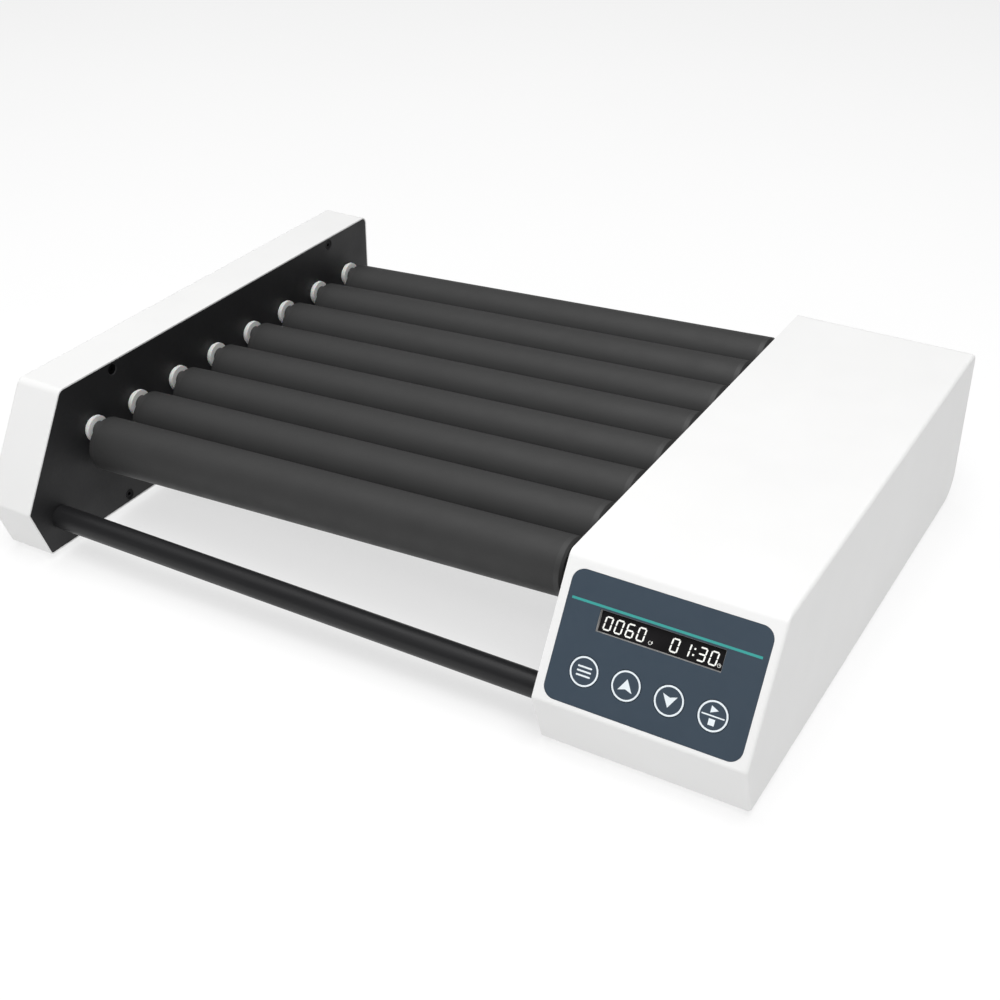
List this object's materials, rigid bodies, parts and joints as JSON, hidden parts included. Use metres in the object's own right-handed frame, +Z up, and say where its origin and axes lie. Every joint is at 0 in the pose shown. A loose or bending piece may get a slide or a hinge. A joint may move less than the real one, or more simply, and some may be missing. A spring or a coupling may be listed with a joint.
{
  "type": "tube roller mixer",
  "caption": "Bench mixer with parallel rollers that turn on offset stub axles between two bearing plates, belt driven from an end housing with a sloped control panel.",
  "frame": {"origin": "on the floor under the middle of the mixer's footprint", "axes": "+X along the rollers towards the control housing, +Y to the back, +Z up"},
  "size_m": [0.439, 0.33, 0.094],
  "materials": {
    "housing_white": "satin moulded white",
    "plate_black": "fine black powder coat",
    "rod_black": "satin black enamel",
    "roller_grey": "matt dark grey sleeve",
    "plug_grey": "matt dark grey moulding",
    "nylon_white": "natural nylon",
    "screw_black": "blackened steel",
    "screw_steel": "zinc-plated steel",
    "foot_rubber": "black rubber",
    "overlay_slate": "printed polyester film",
    "key_slate": "printed polyester film",
    "display_black": "dark display window",
    "display_body": "black moulding",
    "board_green": "circuit board",
    "pulley_black": "black acetal",
    "belt_rubber": "black belt",
    "gearbox_steel": "plated steel",
    "motor_steel": "plated steel",
    "bracket_steel": "bent zinc-plated sheet",
    "shaft_steel": "ground steel",
    "connector_black": "black moulding",
    "rocker_black": "glossy black rocker"
  },
  "bodies": {
    "frame": {"left_housing": "housing_white", "right_housing": "housing_white", "left_bearing_plate": "plate_black", "right_bearing_plate": "plate_black", "left_plate_screws": "screw_black", "right_plate_screws": "screw_black", "front_tie_rod": "rod_black", "rear_tie_rod": "rod_black", "tie_rod_screws": "screw_steel", "rubber_feet": "foot_rubber", "foot_screws": "screw_steel", "left_bearing_bushes": "nylon_white", "right_bearing_bushes": "nylon_white", "roller_drive_belts": "belt_rubber", "motor_belt": "belt_rubber", "drive_gearbox": "gearbox_steel", "drive_motor_can": "motor_steel", "motor_bracket": "bracket_steel", "motor_bracket_screws": "screw_steel", "fascia_overlay": "overlay_slate", "display_glass": "display_black", "display_module": "display_body", "control_board": "board_green", "power_inlet": "connector_black", "power_switch_body": "connector_black", "supply_board": "board_green"},
    "roller_1": {"roller_1_tube": "roller_grey", "roller_1_end_plugs": "plug_grey", "roller_1_pulley": "pulley_black"},
    "roller_2": {"roller_2_tube": "roller_grey", "roller_2_end_plugs": "plug_grey", "roller_2_pulley": "pulley_black"},
    "roller_3": {"roller_3_tube": "roller_grey", "roller_3_end_plugs": "plug_grey", "roller_3_pulley": "pulley_black"},
    "roller_4": {"roller_4_tube": "roller_grey", "roller_4_end_plugs": "plug_grey", "roller_4_pulley": "pulley_black"},
    "roller_5": {"roller_5_tube": "roller_grey", "roller_5_end_plugs": "plug_grey", "roller_5_pulley": "pulley_black"},
    "roller_6": {"roller_6_tube": "roller_grey", "roller_6_end_plugs": "plug_grey", "roller_6_pulley": "pulley_black"},
    "roller_7": {"roller_7_tube": "roller_grey", "roller_7_end_plugs": "plug_grey", "roller_7_pulley": "pulley_black"},
    "roller_8": {"roller_8_tube": "roller_grey", "roller_8_end_plugs": "plug_grey", "roller_8_pulley": "pulley_black"},
    "motor_output": {"motor_shaft": "shaft_steel", "motor_pulley": "pulley_black"},
    "menu_key_cap": {"menu_key": "key_slate"},
    "up_key_cap": {"up_key": "key_slate"},
    "down_key_cap": {"down_key": "key_slate"},
    "start_stop_key_cap": {"start_stop_key": "key_slate"},
    "power_rocker": {"power_switch_rocker": "rocker_black"}
  },
  "joints": [
    {"name": "roller_1_spin", "type": "hinge", "parent": "frame", "child": "roller_1", "pos_m": [-0.037, -0.10965, 0.062], "axis": [1, 0, 0], "continuous": true},
    {"name": "roller_2_spin", "type": "hinge", "parent": "frame", "child": "roller_2", "pos_m": [-0.037, -0.07465, 0.062], "axis": [1, 0, 0], "continuous": true},
    {"name": "roller_3_spin", "type": "hinge", "parent": "frame", "child": "roller_3", "pos_m": [-0.037, -0.03965, 0.062], "axis": [1, 0, 0], "continuous": true},
    {"name": "roller_4_spin", "type": "hinge", "parent": "frame", "child": "roller_4", "pos_m": [-0.037, -0.00465, 0.062], "axis": [1, 0, 0], "continuous": true},
    {"name": "roller_5_spin", "type": "hinge", "parent": "frame", "child": "roller_5", "pos_m": [-0.037, 0.03035, 0.062], "axis": [1, 0, 0], "continuous": true},
    {"name": "roller_6_spin", "type": "hinge", "parent": "frame", "child": "roller_6", "pos_m": [-0.037, 0.06535, 0.062], "axis": [1, 0, 0], "continuous": true},
    {"name": "roller_7_spin", "type": "hinge", "parent": "frame", "child": "roller_7", "pos_m": [-0.037, 0.10035, 0.062], "axis": [1, 0, 0], "continuous": true},
    {"name": "roller_8_spin", "type": "hinge", "parent": "frame", "child": "roller_8", "pos_m": [-0.037, 0.13535, 0.062], "axis": [1, 0, 0], "continuous": true},
    {"name": "motor_spin", "type": "hinge", "parent": "frame", "child": "motor_output", "pos_m": [0.1316, 0.11785, 0.037], "axis": [1, 0, 0], "continuous": true},
    {"name": "menu_press", "type": "slide", "parent": "frame", "child": "menu_key_cap", "axis": [0, 0.8638, -0.5039], "range_m": [0, 0.0005], "stiffness_N_per_m": 900},
    {"name": "up_press", "type": "slide", "parent": "frame", "child": "up_key_cap", "axis": [0, 0.8638, -0.5039], "range_m": [0, 0.0005], "stiffness_N_per_m": 900},
    {"name": "down_press", "type": "slide", "parent": "frame", "child": "down_key_cap", "axis": [0, 0.8638, -0.5039], "range_m": [0, 0.0005], "stiffness_N_per_m": 900},
    {"name": "start_stop_press", "type": "slide", "parent": "frame", "child": "start_stop_key_cap", "axis": [0, 0.8638, -0.5039], "range_m": [0, 0.0005], "stiffness_N_per_m": 900},
    {"name": "power_rock", "type": "hinge", "parent": "frame", "child": "power_rocker", "pos_m": [0.1975, 0.15835, 0.052], "axis": [1, 0, 0], "range_deg": [0, 22]}
  ],
  "couplings": [
    {"joint": "roller_1_spin", "follows": "roller_8_spin", "ratio": 1},
    {"joint": "roller_2_spin", "follows": "roller_8_spin", "ratio": 1},
    {"joint": "roller_3_spin", "follows": "roller_8_spin", "ratio": 1},
    {"joint": "roller_4_spin", "follows": "roller_8_spin", "ratio": 1},
    {"joint": "roller_5_spin", "follows": "roller_8_spin", "ratio": 1},
    {"joint": "roller_6_spin", "follows": "roller_8_spin", "ratio": 1},
    {"joint": "roller_7_spin", "follows": "roller_8_spin", "ratio": 1},
    {"joint": "motor_spin", "follows": "roller_8_spin", "ratio": 1.375}
  ]
}
